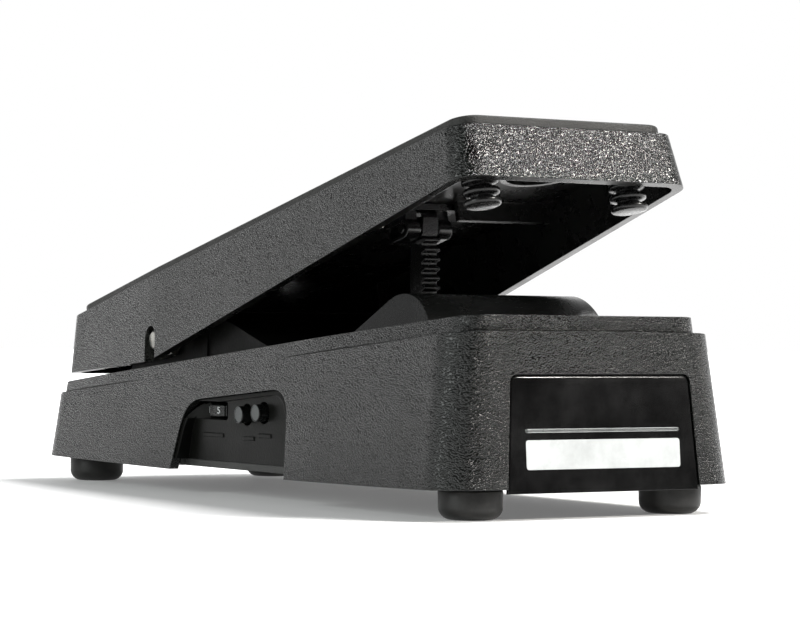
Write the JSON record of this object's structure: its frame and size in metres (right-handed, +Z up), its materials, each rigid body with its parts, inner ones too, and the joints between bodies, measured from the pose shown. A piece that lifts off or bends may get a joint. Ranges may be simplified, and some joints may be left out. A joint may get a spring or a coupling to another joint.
{
  "type": "expression treadle pedal",
  "caption": "Foot-operated expression pedal: drafted plastic base, rocking treadle rack and pinion potentiometer drive, and a range wheel and push buttons in a side recess.",
  "frame": {"origin": "on the floor under the middle of the base", "axes": "+X across the pedal to the jack side, +Y from the toe end to the heel end, +Z up"},
  "size_m": [0.1002, 0.25, 0.11],
  "materials": {
    "moulded_shell": "coarse moulded grain, semi-matt",
    "smooth_plastic": "fine matt",
    "cover_plastic": "fine matt",
    "rubber": "matt",
    "steel": "zinc plated",
    "black_nylon": "greased satin",
    "white_nylon": "satin",
    "board_green": "solder mask",
    "brass": "dull",
    "wire_red": "soft insulation"
  },
  "bodies": {
    "base": {"base_shell": "moulded_shell", "gear_cover": "smooth_plastic", "label_plate": "smooth_plastic", "control_panel": "smooth_plastic", "bottom_cover": "cover_plastic", "foot_toe_left": "rubber", "foot_toe_right": "rubber", "foot_heel_left": "rubber", "foot_heel_right": "rubber", "heel_stop_left": "rubber", "heel_stop_right": "rubber", "foot_screw_toe_left": "steel", "foot_screw_toe_right": "steel", "foot_screw_heel_left": "steel", "foot_screw_heel_right": "steel", "pot_body": "steel", "pot_nut": "steel", "pot_washer": "steel", "pot_bracket": "steel", "bracket_screw_toe": "steel", "bracket_screw_heel": "steel", "board_screw_toe": "steel", "board_screw_heel": "steel", "jack_washer": "steel", "jack_nut": "steel", "polarity_switch": "black_nylon", "reverse_switch": "black_nylon", "range_pot": "black_nylon", "output_jack": "black_nylon", "axle_bush_left": "white_nylon", "axle_bush_right": "white_nylon", "rack_guide": "white_nylon", "circuit_board": "board_green", "pot_terminals": "brass", "signal_wire_1": "wire_red", "signal_wire_2": "wire_red", "signal_wire_3": "wire_red"},
    "treadle": {"treadle_shell": "moulded_shell", "tread_pad": "rubber", "axle": "steel", "axle_clamp_left": "steel", "axle_clamp_right": "steel", "clamp_screw_left_toe": "steel", "clamp_screw_left_heel": "steel", "clamp_screw_right_toe": "steel", "clamp_screw_right_heel": "steel", "toe_bumper_left": "rubber", "toe_bumper_right": "rubber", "rack_yoke": "black_nylon", "yoke_screw_left": "steel", "yoke_screw_right": "steel"},
    "rack": {"rack": "black_nylon", "rack_pin": "black_nylon"},
    "pinion": {"pinion": "white_nylon", "pot_shaft": "steel"},
    "range_wheel": {"range_wheel": "smooth_plastic", "range_shaft": "steel"},
    "polarity_button": {"polarity_button": "smooth_plastic"},
    "reverse_button": {"reverse_button": "smooth_plastic"}
  },
  "joints": [
    {"name": "treadle_tilt", "type": "hinge", "parent": "base", "child": "treadle", "pos_m": [0, 0.055, 0.04735], "axis": [1, 0, 0], "range_deg": [0, 12]},
    {"name": "rack_slide", "type": "slide", "parent": "base", "child": "rack", "axis": [0, 0, 1], "range_m": [-0.02101, 0]},
    {"name": "pinion_spin", "type": "hinge", "parent": "base", "child": "pinion", "pos_m": [0, -0.05158, 0.041], "axis": [1, 0, 0], "range_deg": [-191.1, 0]},
    {"name": "range_turn", "type": "hinge", "parent": "base", "child": "range_wheel", "pos_m": [-0.0365, 0.0105, 0.0262], "axis": [0, 0, 1], "range_deg": [-135, 135]},
    {"name": "polarity_push", "type": "slide", "parent": "base", "child": "polarity_button", "axis": [1, 0, 0], "range_m": [0, 0.0018]},
    {"name": "reverse_push", "type": "slide", "parent": "base", "child": "reverse_button", "axis": [1, 0, 0], "range_m": [0, 0.0018]}
  ],
  "couplings": [
    {"joint": "rack_slide", "follows": "treadle_tilt", "m_per_rad": -0.1003},
    {"joint": "pinion_spin", "follows": "treadle_tilt", "ratio": -15.921}
  ]
}
